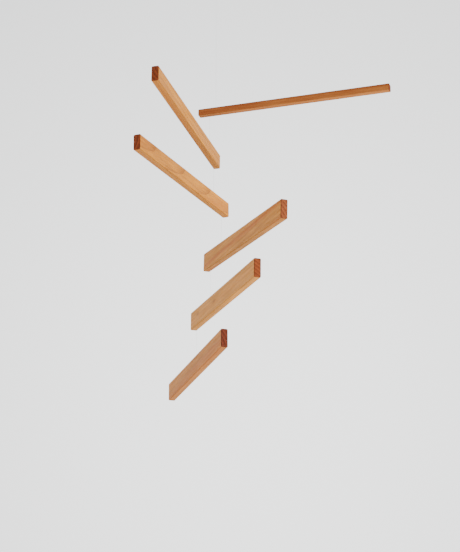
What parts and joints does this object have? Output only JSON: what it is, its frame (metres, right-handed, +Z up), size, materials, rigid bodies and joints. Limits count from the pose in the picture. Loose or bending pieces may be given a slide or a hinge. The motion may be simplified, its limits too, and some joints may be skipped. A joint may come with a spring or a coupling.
{
  "type": "hanging mobile sculpture",
  "caption": "Hanging mobile of slim wooden bars on edge in a cascade, each balanced on a fine clear line from near the end of the bar above, and free to turn.",
  "frame": {"origin": "inside top of the loop that the mobile hangs by, where a hook bears", "axes": "+Z up along the top line; +Y away from the viewer who sees the bars' undersides and their nearer ends; +X to that viewer's right"},
  "size_m": [0.347, 0.5132, 0.5591],
  "materials": {
    "oiled_cherry": "planed straight-grained cherry, thinly oiled, satin",
    "clear_line": "clear nylon monofilament"
  },
  "bodies": {
    "top_line": {"top_line": "clear_line"},
    "bar_1": {"bar_1": "oiled_cherry", "line_1": "clear_line"},
    "bar_2": {"bar_2": "oiled_cherry", "line_2": "clear_line"},
    "bar_3": {"bar_3": "oiled_cherry", "line_3": "clear_line"},
    "bar_4": {"bar_4": "oiled_cherry", "line_4": "clear_line"},
    "bar_5": {"bar_5": "oiled_cherry", "line_5": "clear_line"},
    "bar_6": {"bar_6": "oiled_cherry"}
  },
  "joints": [
    {"name": "bar_1_turn", "type": "hinge", "parent": "top_line", "child": "bar_1", "pos_m": [0, 0, -0.2], "axis": [0, 0, 1], "continuous": true},
    {"name": "bar_2_turn", "type": "hinge", "parent": "bar_1", "child": "bar_2", "pos_m": [-0.00893, 0.00297, -0.25545], "axis": [0, 0, 1], "continuous": true},
    {"name": "bar_3_turn", "type": "hinge", "parent": "bar_2", "child": "bar_3", "pos_m": [-0.00308, 0.02322, -0.32312], "axis": [0, 0, 1], "continuous": true},
    {"name": "bar_4_turn", "type": "hinge", "parent": "bar_3", "child": "bar_4", "pos_m": [0.00786, 0.04769, -0.38961], "axis": [0, 0, 1], "continuous": true},
    {"name": "bar_5_turn", "type": "hinge", "parent": "bar_4", "child": "bar_5", "pos_m": [-0.00815, 0.08751, -0.45897], "axis": [0, 0, 1], "continuous": true},
    {"name": "bar_6_turn", "type": "hinge", "parent": "bar_5", "child": "bar_6", "pos_m": [-0.02827, 0.14695, -0.52911], "axis": [0, 0, 1], "continuous": true}
  ]
}
